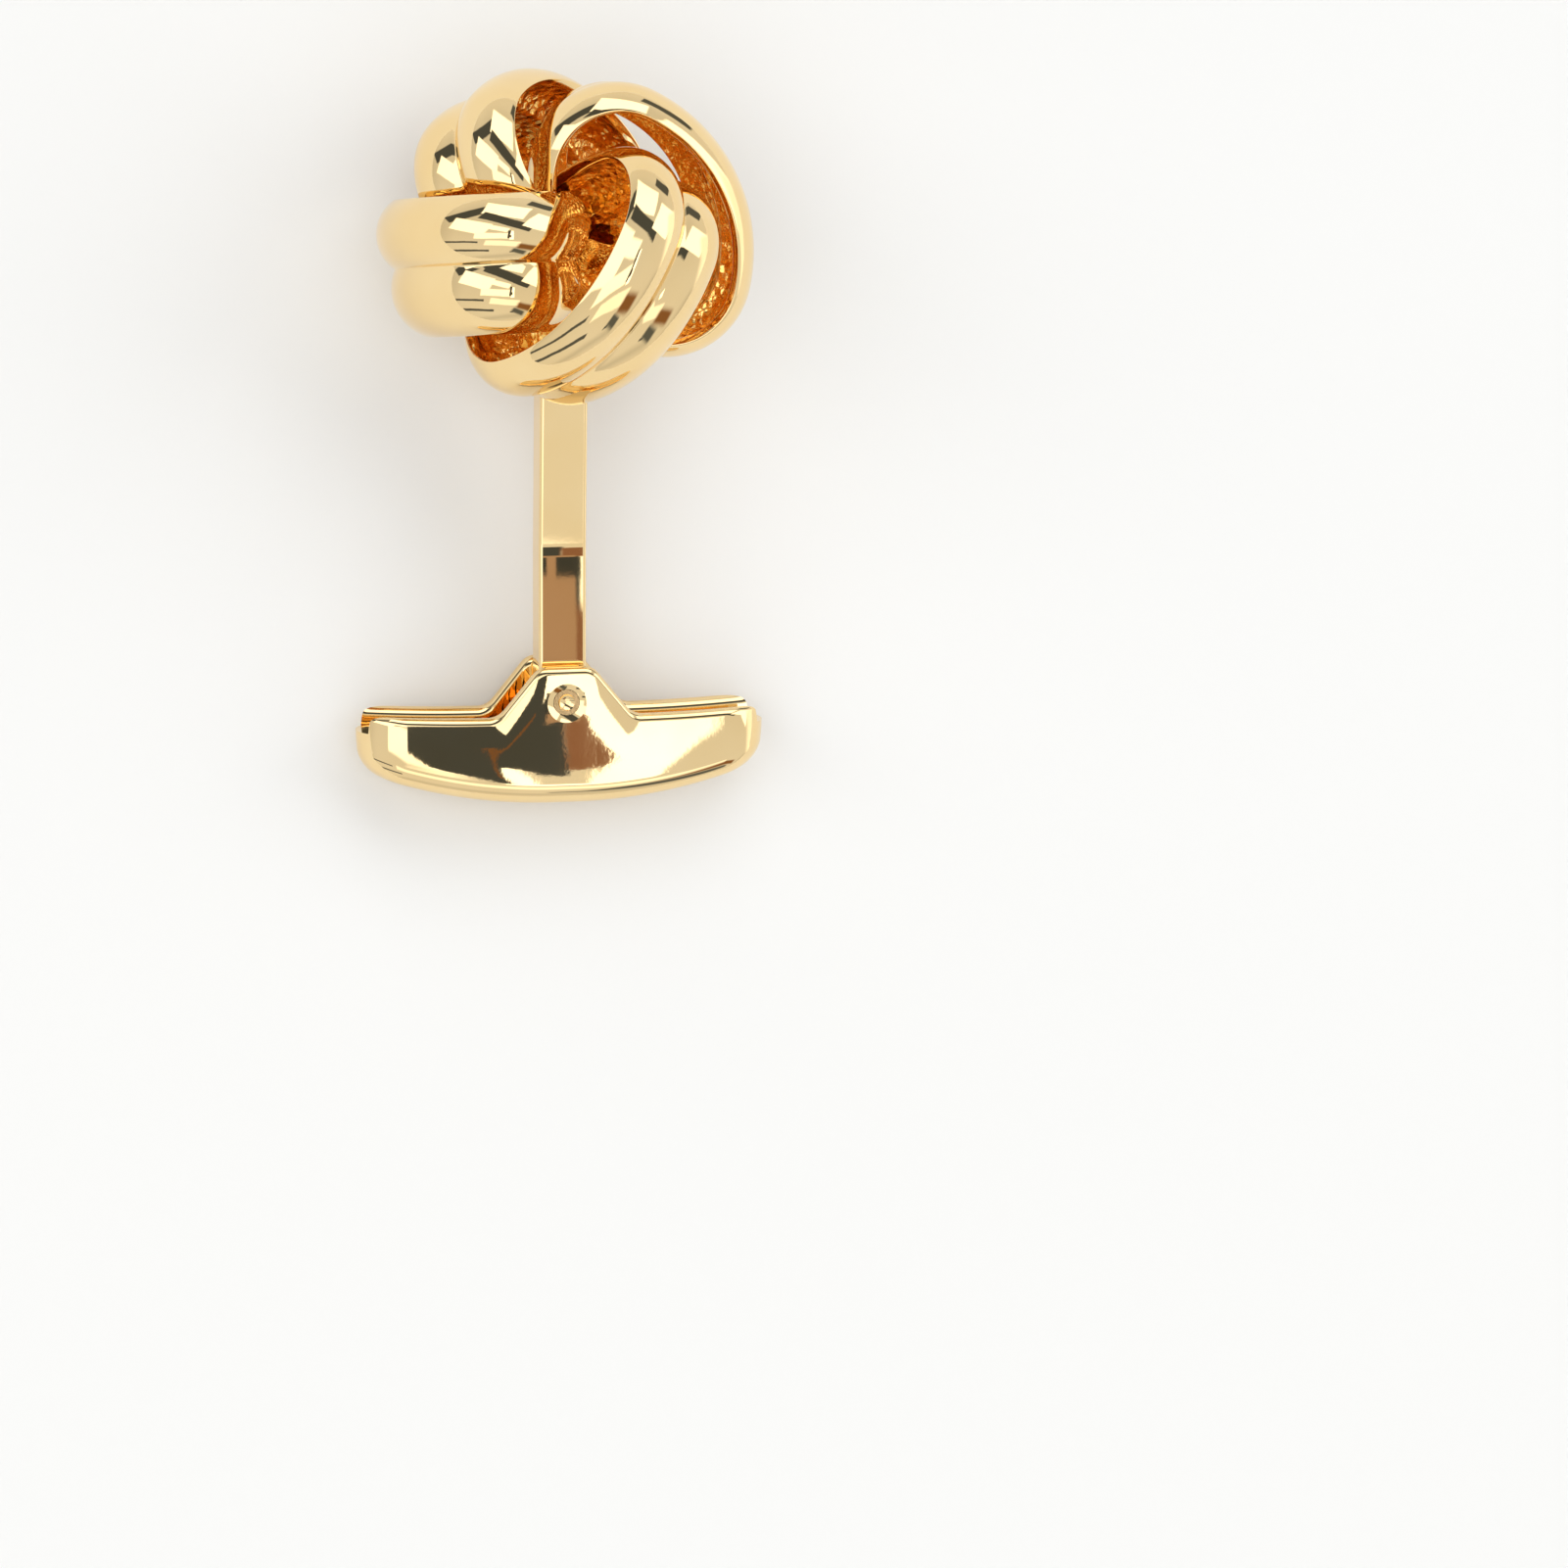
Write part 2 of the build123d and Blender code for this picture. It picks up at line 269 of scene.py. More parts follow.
def inner_corner(rim, top, groove):
    """Inner corner of a band's edge: RIM_WALL along the radius of the rib's own arc."""
    ax, ay = rim
    bx, by = top
    cx, cy = groove
    # middle of the circle through the three points
    d = 2 * (ax * (by - cy) + bx * (cy - ay) + cx * (ay - by))
    ux = ((ax**2 + ay**2) * (by - cy) + (bx**2 + by**2) * (cy - ay) + (cx**2 + cy**2) * (ay - by)) / d
    uy = ((ax**2 + ay**2) * (cx - bx) + (bx**2 + by**2) * (ax - cx) + (cx**2 + cy**2) * (bx - ax)) / d
    away = Vector((ux - ax, uy - ay)).normalized() * RIM_WALL
    return ax + away.x, ay + away.y


def linked_bands_tree():
    """Geometry nodes of the knot: a double-rib section swept round an oval, and four placed copies."""
    tree = bpy.data.node_groups.new("linked_bands", "GeometryNodeTree")
    sizes = [
        ("End radius", BAND_END_R),
        ("End centre", BAND_LONG - BAND_END_R),
        ("Side radius", SIDE_R),
        ("Side centre", SIDE_R - BAND_SHORT),
        ("Split angle", SPLIT),
    ]
    inputs = {}
    for name, value in sizes:
        socket = tree.interface.new_socket(name, in_out="INPUT", socket_type="NodeSocketFloat")
        inputs[socket.identifier] = value
    tree.interface.new_socket("Geometry", in_out="OUTPUT", socket_type="NodeSocketGeometry")
    size = add(tree, "NodeGroupInput").outputs
    # path: four tangent arcs, joined to one closed curve
    split = size["Split angle"]
    twice = add(tree, "ShaderNodeMath", {"operation": "MULTIPLY"}, {1: 2.0}, {0: split}).outputs[0]
    minus = add(tree, "ShaderNodeMath", {"operation": "MULTIPLY"}, {1: -1.0}, {0: split}).outputs[0]
    rest = add(tree, "ShaderNodeMath", {"operation": "SUBTRACT"}, {0: math.pi}, {1: twice}).outputs[0]
    left = add(tree, "ShaderNodeMath", {"operation": "SUBTRACT"}, {0: math.pi}, {1: split}).outputs[0]
    below = add(tree, "ShaderNodeMath", {"operation": "ADD"}, {0: math.pi}, {1: split}).outputs[0]
    end_minus, side_minus = [
        add(tree, "ShaderNodeMath", {"operation": "MULTIPLY"}, {1: -1.0}, {0: size[name]}).outputs[0]
        for name in ("End centre", "Side centre")
    ]
    arcs = [
        (size["End radius"], minus, twice, size["End centre"], "X", END_STEPS),
        (size["Side radius"], split, rest, side_minus, "Y", SIDE_STEPS),
        (size["End radius"], left, twice, end_minus, "X", END_STEPS),
        (size["Side radius"], below, rest, size["Side centre"], "Y", SIDE_STEPS),
    ]
    joined = add(tree, "GeometryNodeJoinGeometry")
    for radius, start, sweep, shift, axis, steps in arcs:
        arc = add(tree, "GeometryNodeCurveArc", {"mode": "RADIUS"}, {"Resolution": steps},
                  {"Radius": radius, "Start Angle": start, "Sweep Angle": sweep})
        move = add(tree, "ShaderNodeCombineXYZ", links={axis: shift})
        placed = add(tree, "GeometryNodeTransform",
                     links={"Geometry": arc.outputs[0], "Translation": move.outputs[0]})
        tree.links.new(placed.outputs[0], joined.inputs[0])
    wire = add(tree, "GeometryNodeCurveToMesh", links={"Curve": joined.outputs[0]})
    closed = add(tree, "GeometryNodeMergeByDistance", values={"Distance": PATH_JOIN},
                 links={"Geometry": wire.outputs[0]})
    path = add(tree, "GeometryNodeMeshToCurve", links={"Mesh": closed.outputs[0]})
    level = add(tree, "GeometryNodeSetCurveNormal", {"mode": "Z_UP"}, links={"Curve": path.outputs[0]})
    # section: the two ribs outside, the two hollows inside, and the edges between
    half = BAND_WIDTH / 2
    rim_up, rim_down = (RIM_LIFT, half), (-RIM_LIFT, -half)
    groove = (GROOVE_LIFT, 0.0)
    top_up = ((RIM_LIFT + GROOVE_LIFT) / 2 + RIB_RISE, half / 2)
    top_down = ((GROOVE_LIFT - RIM_LIFT) / 2 + RIB_RISE, -half / 2)
    in_up = inner_corner(rim_up, top_up, groove)
    in_down = inner_corner(rim_down, top_down, groove)
    hollow_up, hollow_down = (top_up[0] - WALL, top_up[1]), (top_down[0] - WALL, top_down[1])
    floor_up, floor_down = (GROOVE_LIFT - WALL, WALL / 2), (GROOVE_LIFT - WALL, -WALL / 2)
    strips = [
        (0, [("arc", rim_up, top_up, groove, RIB_STEPS), ("arc", groove, top_down, rim_down, RIB_STEPS)]),
        (1, [("arc", in_down, hollow_down, floor_down, HOLLOW_STEPS), ("line", floor_down, floor_up),
             ("arc", floor_up, hollow_up, in_up, HOLLOW_STEPS)]),
        (2, [("line", rim_down, in_down), ("line", in_up, rim_up)]),
    ]
    walls = add(tree, "GeometryNodeJoinGeometry")
    for finish, pieces in strips:
        section = add(tree, "GeometryNodeJoinGeometry")
        for kind, *points in pieces:
            flipped = [(p[0], -p[1], 0.0) for p in points if isinstance(p, tuple)]
            if kind == "arc":
                ends = {"Start": flipped[0], "Middle": flipped[1], "End": flipped[2]}
                line = add(tree, "GeometryNodeCurveArc", {"mode": "POINTS"},
                           {"Resolution": points[-1], **ends})
            else:
                line = add(tree, "GeometryNodeCurvePrimitiveLine",
                           values={"Start": flipped[0], "End": flipped[1]})
            tree.links.new(line.outputs[0], section.inputs[0])
        swept = add(tree, "GeometryNodeCurveToMesh",
                    links={"Curve": level.outputs[0], "Profile Curve": section.outputs[0]})
        marked = add(tree, "GeometryNodeStoreNamedAttribute", {"data_type": "INT", "domain": "FACE"},
                     {"Name": "finish"}, {"Geometry": swept.outputs[0]})
        marked.inputs["Value"].default_value = finish
        tree.links.new(marked.outputs[0], walls.inputs[0])
    ring = add(tree, "GeometryNodeMergeByDistance", values={"Distance": SEAM_JOIN},
               links={"Geometry": walls.outputs[0]})
    # four copies, each at its place
    linked = add(tree, "GeometryNodeJoinGeometry")
    for row in BANDS:
        place = band_place(row)
        copy = add(tree, "GeometryNodeTransform",
                   values={"Translation": place.translation, "Rotation": place.to_euler()},
                   links={"Geometry": ring.outputs[0]})
        tree.links.new(copy.outputs[0], linked.inputs[0])
    real = add(tree, "GeometryNodeRealizeInstances", links={"Geometry": linked.outputs[0]})
    inside = add(tree, "GeometryNodeInputNamedAttribute", {"data_type": "INT"}, {"Name": "finish"})
    is_inside = add(tree, "FunctionNodeCompare", {"data_type": "INT", "operation": "EQUAL"})
    is_inside.inputs[3].default_value = 1
    tree.links.new(inside.outputs["Attribute"], is_inside.inputs[2])
    outer = add(tree, "GeometryNodeSetMaterial", values={"Material": GOLD},
                links={"Geometry": real.outputs[0]})
    # the hollow side gets the cast finish, with its painted deeper orange for the light bounced inside the
    # bands
    cast_and_painted_bounce = add(tree, "GeometryNodeSetMaterial", values={"Material": GOLD_CAST_PAINTED_BOUNCE},
               links={"Geometry": outer.outputs[0], "Selection": is_inside.outputs[0]})
    add(tree, "NodeGroupOutput", links={"Geometry": cast_and_painted_bounce.outputs[0]})
    return tree, inputs


SIDE_R = (BAND_LONG**2 + BAND_SHORT**2 - 2 * BAND_LONG * BAND_END_R) / (2 * (BAND_SHORT - BAND_END_R))
SPLIT = math.atan2(SIDE_R - BAND_SHORT, BAND_LONG - BAND_END_R)


def plated(mesh, finish):
    """The mesh in one finish all over."""
    mesh.materials.clear()
    mesh.materials.append(finish)
    return mesh


def new_piece(name, mesh, body):
    """Lays a mesh made in standing millimetres on the floor in metres, and hands it to its body."""
    mesh.transform(LAID)
    piece = bpy.data.objects.new(name, mesh)
    bpy.context.scene.collection.objects.link(piece)
    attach(piece, body)
    return piece


def applied(obj, name):
    """The object's evaluated mesh as a plain mesh of its own."""
    bpy.context.view_layer.update()
    graph = bpy.context.evaluated_depsgraph_get()
    mesh = bpy.data.meshes.new_from_object(obj.evaluated_get(graph), depsgraph=graph)
    mesh.name = name
    bpy.data.objects.remove(obj)
    return mesh


def knot_bands():
    holder = bpy.data.objects.new("bands_maker", bpy.data.meshes.new("bands_maker"))
    bpy.context.scene.collection.objects.link(holder)
    nodes = holder.modifiers.new("linked_bands", "NODES")
    nodes.node_group, inputs = linked_bands_tree()
    for identifier, value in inputs.items():
        nodes[identifier] = value
    bevel = holder.modifiers.new("soft_edges", "BEVEL")
    bevel.width = BAND_SOFT_EDGE
    bevel.segments = 3
    bevel.limit_method = "ANGLE"
    bevel.angle_limit = math.radians(BAND_SOFT_FROM)
    mesh = applied(holder, "knot_bands")
    work = bmesh.new()
    work.from_mesh(mesh)
    bmesh.ops.recalc_face_normals(work, faces=work.faces)
    work.to_mesh(mesh)
    work.free()
    mesh.shade_smooth()
    mesh.set_sharp_from_angle(angle=math.radians(BAND_SHARP_FROM))
    return mesh


def post_mesh():
    """Flat bar with rounded edges, bent a little forward; its round eye is joined on afterwards."""
    work = bmesh.new()
    half_w, half_d, r = POST_WIDTH / 2, POST_DEPTH / 2, POST_EDGE_R
    loop = []
    for cx, cy, start in ((half_w - r, half_d - r, 0), (-half_w + r, half_d - r, 90),
                          (-half_w + r, -half_d + r, 180), (half_w - r, -half_d + r, 270)):
        for k in range(CORNER_STEPS + 1):
            turn = math.radians(start + 90 / CORNER_STEPS * k)
            loop.append((cx + r * math.cos(turn), cy + r * math.sin(turn)))
    lean = math.radians(POST_LEAN)
    bend = POST_BEND
    heights = [0.0, EYE_CLEAR, POST_KINK_UP - bend]
    heights += [POST_KINK_UP - bend + 2 * bend * k / BEND_STEPS for k in range(1, BEND_STEPS + 1)]
    heights += [POST_TOP]
    rings = []
    for z in heights:
        over = z - (POST_KINK_UP - bend)
        if over <= 0:
            y = 0.0
        elif over < 2 * bend:
            y = -math.tan(lean) * over**2 / (4 * bend)
        else:
            y = -math.tan(lean) * (z - POST_KINK_UP)
        slope = POST_TOP_SLOPE if z == POST_TOP else 0.0
        rings.append([work.verts.new((px, py + y, z + slope * py)) for px, py in loop])
    for low, high in zip(rings, rings[1:]):
        for k in range(len(loop)):
            j = (k + 1) % len(loop)
            work.faces.new((low[k], low[j], high[j], high[k]))
    work.faces.new(rings[-1])
    work.faces.new(list(reversed(rings[0])))
    mesh = bpy.data.meshes.new("post")
    work.to_mesh(mesh)
    work.free()
    return mesh


def cylinder(name, radius, length, steps=96):
    """Closed cylinder along Y about the pivot."""
    work = bmesh.new()
    bmesh.ops.create_cone(work, cap_ends=True, segments=steps, radius1=radius, radius2=radius, depth=length)
    bmesh.ops.rotate(work, verts=work.verts, matrix=Matrix.Rotation(math.pi / 2, 3, "X"))
    mesh = bpy.data.meshes.new(name)
    work.to_mesh(mesh)
    work.free()
    return mesh


def carve(base, cuts):
    """Applies boolean operations in order to a mesh: a list of (operation, mesh)."""
    holder = bpy.data.objects.new("carved", base)
    bpy.context.scene.collection.objects.link(holder)
    tools = []
    for operation, mesh in cuts:
        tool = bpy.data.objects.new("tool", mesh)
        bpy.context.scene.collection.objects.link(tool)
        tools.append(tool)
        step = holder.modifiers.new("carve", "BOOLEAN")
        step.operation = operation
        step.solver = "EXACT"
        step.object = tool
    result = applied(holder, base.name)
    for tool in tools:
        bpy.data.objects.remove(tool)
    work = bmesh.new()
    work.from_mesh(result)
    # the solver's order differs from run to run, so corners and faces are put in order first
    corners = sorted(work.verts, key=lambda vert: vert.co[:])
    work.verts.sort(key={vert: k for k, vert in enumerate(corners)}.get)
    sides = sorted(work.faces, key=lambda face: (face.calc_center_median()[:], face.normal[:]))
    work.faces.sort(key={face: k for k, face in enumerate(sides)}.get)
    # cuts that graze a face leave slivers, and corners in the middle of straight edges
    bmesh.ops.remove_doubles(work, verts=work.verts, dist=SLIVER)
    bmesh.ops.dissolve_degenerate(work, dist=SLIVER, edges=work.edges)
    midway = [vert for vert in work.verts if len(vert.link_edges) == 2]
    straight = [vert for vert in midway if vert.calc_edge_angle() < math.radians(STRAIGHT)]
    bmesh.ops.dissolve_verts(work, verts=straight)
    work.to_mesh(result)
    work.free()
    return evened(result)


def evened(mesh):
    """Smooth shading that keeps flat faces flat: large faces outweigh the narrow ones at their edges."""
    mesh.shade_smooth()
    mesh.set_sharp_from_angle(angle=math.radians(SHARP_FROM))
    holder = bpy.data.objects.new("evened", mesh)
    bpy.context.scene.collection.objects.link(holder)
    even = holder.modifiers.new("even_shading", "WEIGHTED_NORMAL")
    even.weight = 50
    even.keep_sharp = True
    return applied(holder, mesh.name)


def hump_line(x):
    """Height of the toggle's top over the pivot at x."""
    x = abs(x)
    top, foot = HUMP_TOP_WIDTH / 2, HUMP_FOOT_WIDTH / 2
    half = TOGGLE_LENGTH / 2
    slope = (HUMP_TOP - TOGGLE_TOP) / (foot - top)
    lean = math.atan(slope)
    shoulder = HUMP_SHOULDER_R * math.tan(lean / 2)
    toe = HUMP_FOOT_R * math.tan(lean / 2)
    if x <= top - shoulder:
        return HUMP_TOP
    if x <= top + shoulder * math.cos(lean):
        centre = top - shoulder
        return HUMP_TOP - HUMP_SHOULDER_R + math.sqrt(HUMP_SHOULDER_R**2 - (x - centre) ** 2)
    if x <= foot - toe * math.cos(lean):
        return HUMP_TOP - slope * (x - top)
    if x <= foot + toe:
        centre = foot + toe
        return TOGGLE_TOP + HUMP_FOOT_R - math.sqrt(HUMP_FOOT_R**2 - (x - centre) ** 2)
    run = half - foot
    radius = (run**2 + TOGGLE_TOP_RISE**2) / (2 * TOGGLE_TOP_RISE)
    return TOGGLE_TOP + radius - math.sqrt(radius**2 - (x - foot) ** 2)


def belly_line(x):
    run = (TOGGLE_LENGTH - BELLY_FLAT) / 2
    radius = (run**2 + TOGGLE_BELLY**2) / (2 * TOGGLE_BELLY)
    over = max(abs(x) - BELLY_FLAT / 2, 0.0)
    return TOGGLE_BOTTOM + radius - math.sqrt(radius**2 - over**2)


def toggle_blank():
    """Bar with curved belly, hump, full-round ends and rounded edges: rings of the plan, set inward."""
    half, depth = TOGGLE_LENGTH / 2, TOGGLE_DEPTH / 2
    straight = half - depth
    outline = []
    runs = 260
    for way, start in ((-1, math.pi / 2), (1, -math.pi / 2)):
        for k in range(runs):
            outline.append((way * (-straight + 2 * straight * k / runs), -way * depth, 0.0, -1.0 * way))
        for k in range(END_STEPS):
            turn = start + math.pi * k / END_STEPS
            nx, ny = math.cos(turn), math.sin(turn)
            outline.append((way * straight + depth * nx, depth * ny, nx, ny))
    work = bmesh.new()

    def ring(inset, height, drop):
        verts = []
        for x, y, nx, ny in outline:
            px, py = x - nx * inset, y - ny * inset
            py *= 1 - SIDE_BOW * (px / half) ** 2
            verts.append(work.verts.new((px, py, height(px) + drop)))
        return verts

    def side_line(share):
        def height(x):
            top, bottom = hump_line(x) - TOGGLE_EDGE_R, belly_line(x) + BELLY_EDGE_R
            return top * (1 - share) + bottom * share
        return height

    rings = []
    top_steps, belly_steps, side_steps = 8, 14, 14
    top_reach, belly_reach = TOGGLE_EDGE_R - SIDE_CROWN, BELLY_EDGE_R - SIDE_CROWN
    rings.append(ring(depth - SPINE, hump_line, 0.0))
    for share in (0.75, 0.5, 0.3):
        rings.append(ring(TOGGLE_EDGE_R + (depth - TOGGLE_EDGE_R) * share, hump_line, 0.0))
    for k in range(top_steps + 1):
        turn = math.pi / 2 * k / top_steps
        inset = TOGGLE_EDGE_R - top_reach * math.sin(turn)
        rings.append(ring(inset, hump_line, -TOGGLE_EDGE_R * (1 - math.cos(turn))))
    for k in range(1, side_steps):
        share = k / side_steps
        rings.append(ring(SIDE_CROWN * (2 * share - 1) ** 2, side_line(share), 0.0))
    for k in range(belly_steps, -1, -1):
        turn = math.pi / 2 * k / belly_steps
        inset = BELLY_EDGE_R - belly_reach * math.sin(turn)
        rings.append(ring(inset, belly_line, BELLY_EDGE_R * (1 - math.cos(turn))))
    for share in (0.3, 0.6):
        rings.append(ring(BELLY_EDGE_R + (depth - BELLY_EDGE_R) * share, belly_line, 0.0))
    rings.append(ring(depth - SPINE, belly_line, 0.0))
    count = len(outline)
    for low, high in zip(rings, rings[1:]):
        for k in range(count):
            j = (k + 1) % count
            work.faces.new((low[k], low[j], high[j], high[k]))
    # the spine: the innermost ring is folded shut along the middle line
    for loop in (rings[0], rings[-1]):
        far_side = 2 * runs + END_STEPS
        for k in range(runs):
            across, beside = loop[(far_side - k - 1) % count], loop[(far_side - k) % count]
            work.faces.new((loop[k], loop[k + 1], across, beside))
        work.faces.new([loop[runs + k] for k in range(END_STEPS + 1)])
        work.faces.new([loop[(far_side + k) % count] for k in range(END_STEPS + 1)])
    bmesh.ops.recalc_face_normals(work, faces=work.faces)
    mesh = bpy.data.meshes.new("toggle")
    work.to_mesh(mesh)
    work.free()
    return mesh


def channel_mesh():
    """What is cut out for the post: walls with draft, flared to round the cheeks' inner top edges."""
    floor = -(POST_WIDTH / 2 + SLOT_GAP)
    work = bmesh.new()
    sections = []
    steps, reach = 240, 0.6 * TOGGLE_LENGTH
    for k in range(steps + 1):
        x = -reach + 2 * reach * k / steps
        top = hump_line(min(abs(x), TOGGLE_LENGTH / 2))
        shoulder = top - SLOT_EDGE_R
        half = POST_DEPTH / 2 + SLOT_GAP + (shoulder - floor) * math.tan(math.radians(SLOT_DRAFT))
        side = [(POST_DEPTH / 2 + SLOT_GAP, floor)]
        for j in range(CORNER_STEPS + 1):
            turn = math.pi / 2 * j / CORNER_STEPS
            out, rise = SLOT_EDGE_R * (1 - math.cos(turn)), SLOT_EDGE_R * math.sin(turn)
            side.append((half + out, shoulder + rise))
        side.append((half + SLOT_EDGE_R, HUMP_TOP + 5))
        points = side + [(-y, z) for y, z in reversed(side)]
        sections.append([work.verts.new((x, y, z)) for y, z in points])
    count = len(sections[0])
    for near, far in zip(sections, sections[1:]):
        for k in range(count):
            j = (k + 1) % count
            work.faces.new((near[k], near[j], far[j], far[k]))
    work.faces.new(sections[0])
    work.faces.new(list(reversed(sections[-1])))
    bmesh.ops.recalc_face_normals(work, faces=work.faces)
    mesh = bpy.data.meshes.new("channel")
    work.to_mesh(mesh)
    work.free()
    return mesh


def ball_mesh(name, radius, centre):
    work = bmesh.new()
    bmesh.ops.create_uvsphere(work, u_segments=96, v_segments=64, radius=radius)
    bmesh.ops.rotate(work, verts=work.verts, matrix=Matrix.Rotation(math.pi / 2, 3, "X"))
    bmesh.ops.translate(work, verts=work.verts, vec=centre)
    mesh = bpy.data.meshes.new(name)
    work.to_mesh(mesh)
    work.free()
    return mesh


def toggle_mesh():
    ball_r = (DIMPLE_R**2 + DIMPLE_DEPTH**2) / (2 * DIMPLE_DEPTH)
    away = TOGGLE_DEPTH / 2 - DIMPLE_DEPTH + ball_r
    cuts = [
        ("DIFFERENCE", channel_mesh()),
        ("DIFFERENCE", cylinder("pin_hole", PIN_R + PIN_HOLE_MORE, 2 * TOGGLE_DEPTH)),
        ("DIFFERENCE", ball_mesh("dimple", ball_r, (0, -away, 0))),
        ("DIFFERENCE", ball_mesh("dimple", ball_r, (0, away, 0))),
    ]
    return carve(toggle_blank(), cuts)


def pin_mesh():
    end = TOGGLE_DEPTH / 2 - DIMPLE_DEPTH + PIN_SINK
    ball_r = (PIN_PIT_R**2 + PIN_PIT_DEPTH**2) / (2 * PIN_PIT_DEPTH)
    away = end - PIN_PIT_DEPTH + ball_r
    cuts = [
        ("DIFFERENCE", ball_mesh("pit", ball_r, (0, -away, 0))),
        ("DIFFERENCE", ball_mesh("pit", ball_r, (0, away, 0))),
    ]
    return carve(cylinder("pivot_pin", PIN_R, 2 * end), cuts)


bands = new_piece("linked_bands", knot_bands(), "post")
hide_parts("knot_and_post")

post_cuts = [
    ("UNION", cylinder("eye", POST_WIDTH / 2, POST_DEPTH)),
    ("DIFFERENCE", cylinder("eye_hole", EYE_HOLE_R, 2 * POST_DEPTH)),
]
post_bar = plated(carve(post_mesh(), post_cuts), GOLD_POST)
post = new_piece("flat_post", post_bar, "post")
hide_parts("knot_and_post")

toggle = new_piece("whale_back_toggle", plated(toggle_mesh(), GOLD_TOGGLE), "toggle")
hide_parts("toggle")

pin = new_piece("driven_pin", plated(pin_mesh(), GOLD_PIN), "toggle")
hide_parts("pivot_pin")


def pale_floor():
    mesh = bpy.data.meshes.new("floor")
    size = 1.5
    corners = [(-size, -size, 0), (size, -size, 0), (size, size, 0), (-size, size, 0)]
    mesh.from_pydata(corners, [], [(0, 1, 2, 3)])
    floor = bpy.data.objects.new("floor", mesh)
    bpy.context.scene.collection.objects.link(floor)
    # uncoated board: no gloss, so it takes a soft shadow and shows no reflection
    mat = bpy.data.materials.new("matt_white_board")
    mat.use_nodes = True
    shader = mat.node_tree.nodes["Principled BSDF"]
    shader.inputs["Base Color"].default_value = srgb("#F0F0EE")
    shader.inputs["Roughness"].default_value = 0.9
    mesh.materials.append(mat)


pale_floor()

# Camera: the photograph's own direction, carried along with the part to the floor
VIEW_RIGHT = Vector((0.98481, -0.17365, 0.0))
VIEW_UP = Vector((0.02567, 0.14556, 0.98902))
VIEW_BACK = Vector((-0.17174, -0.97399, 0.14781))
CAMERA_AWAY = 330.0
PIXELS_PER_MM = 24.0
FRAME_PIXELS = 1601.0
SENSOR_MM = 36.0


def photo_camera():
    """Camera at the photograph's angle: the point between pivot and knot falls on its own pixel."""
    aim = Vector((0.0, -0.35, 9.93))
    aim_pixel = (572.5, 476.4)
    focal = CAMERA_AWAY * PIXELS_PER_MM
    base = Matrix((VIEW_RIGHT.normalized(), VIEW_UP.normalized(), VIEW_BACK.normalized())).transposed()
    seen = Vector((aim_pixel[0] - FRAME_PIXELS / 2, FRAME_PIXELS / 2 - aim_pixel[1], -focal)).normalized()
    turn = Vector((0, 0, -1)).rotation_difference(seen).to_matrix()
    turned = base @ turn.inverted()
    place = turned.to_4x4()
    place.translation = aim + VIEW_BACK.normalized() * CAMERA_AWAY
    data = bpy.data.cameras.new("camera")
    data.sensor_width = SENSOR_MM
    data.lens = SENSOR_MM * focal / FRAME_PIXELS
    data.clip_start = 0.01
    camera = bpy.data.objects.new("camera", data)
    bpy.context.scene.collection.objects.link(camera)
    world = LAID @ place
    turn_only = world.to_3x3()
    for k in range(3):
        turn_only.col[k] = turn_only.col[k].normalized()
    camera.matrix_world = Matrix.Translation(world.translation) @ turn_only.to_4x4()
    bpy.context.scene.camera = camera


photo_camera()


